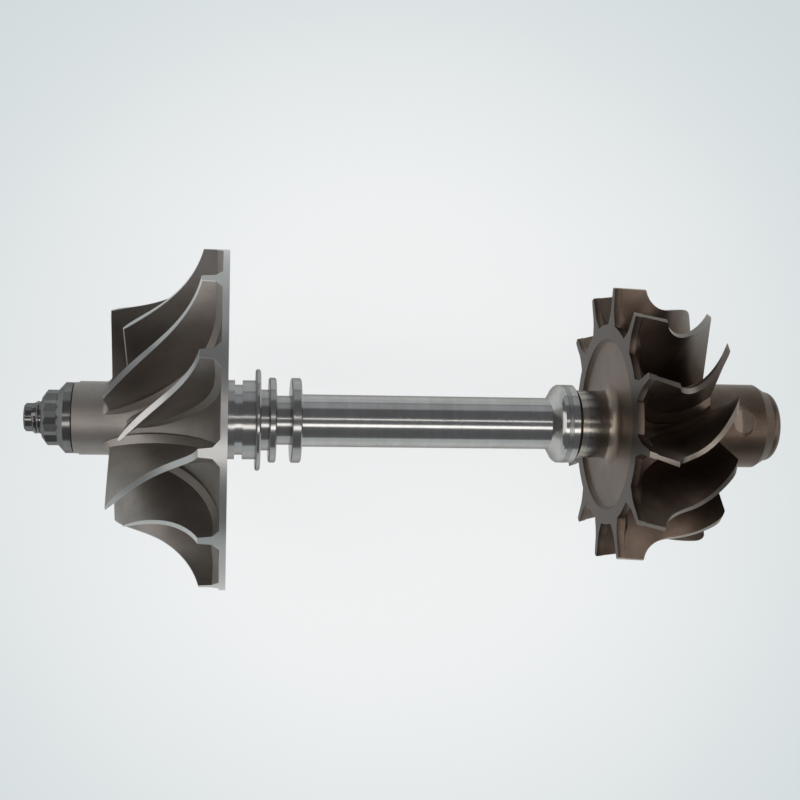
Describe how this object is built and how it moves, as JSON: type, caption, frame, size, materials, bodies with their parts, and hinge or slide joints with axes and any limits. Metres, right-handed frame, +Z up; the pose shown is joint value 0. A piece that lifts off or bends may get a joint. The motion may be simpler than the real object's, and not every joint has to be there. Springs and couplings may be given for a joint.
{
  "type": "turbocharger rotor",
  "caption": "Turbocharger rotor: a long steel shaft with a bladed turbine wheel welded on one end, and a bladed compressor wheel, seal sleeve and thrust collars clamped by a nut at the other.",
  "frame": {"origin": "centre of the bounding box: on the rotor axis, halfway between the nut end of the shaft and the turbine nose", "axes": "+X along the rotor axis towards the turbine nose, with the nut end at -X; +Z up as the rotor lies in the picture"},
  "size_m": [0.195, 0.086, 0.086],
  "materials": {
    "shaft": "ground and polished steel",
    "turbine": "dark cast nickel alloy",
    "seal_ring": "ground",
    "collar": "turned and ground",
    "sleeve": "turned and ground",
    "compressor": "cast, with turned rims",
    "nut": "turned"
  },
  "bodies": {
    "root": {"shaft": "shaft", "turbine_wheel": "turbine", "turbine_seal_ring": "seal_ring", "thrust_collar_inner": "collar", "thrust_collar_outer": "collar", "seal_sleeve": "sleeve", "compressor_wheel": "compressor", "shaft_nut": "nut"}
  },
  "joints": []
}
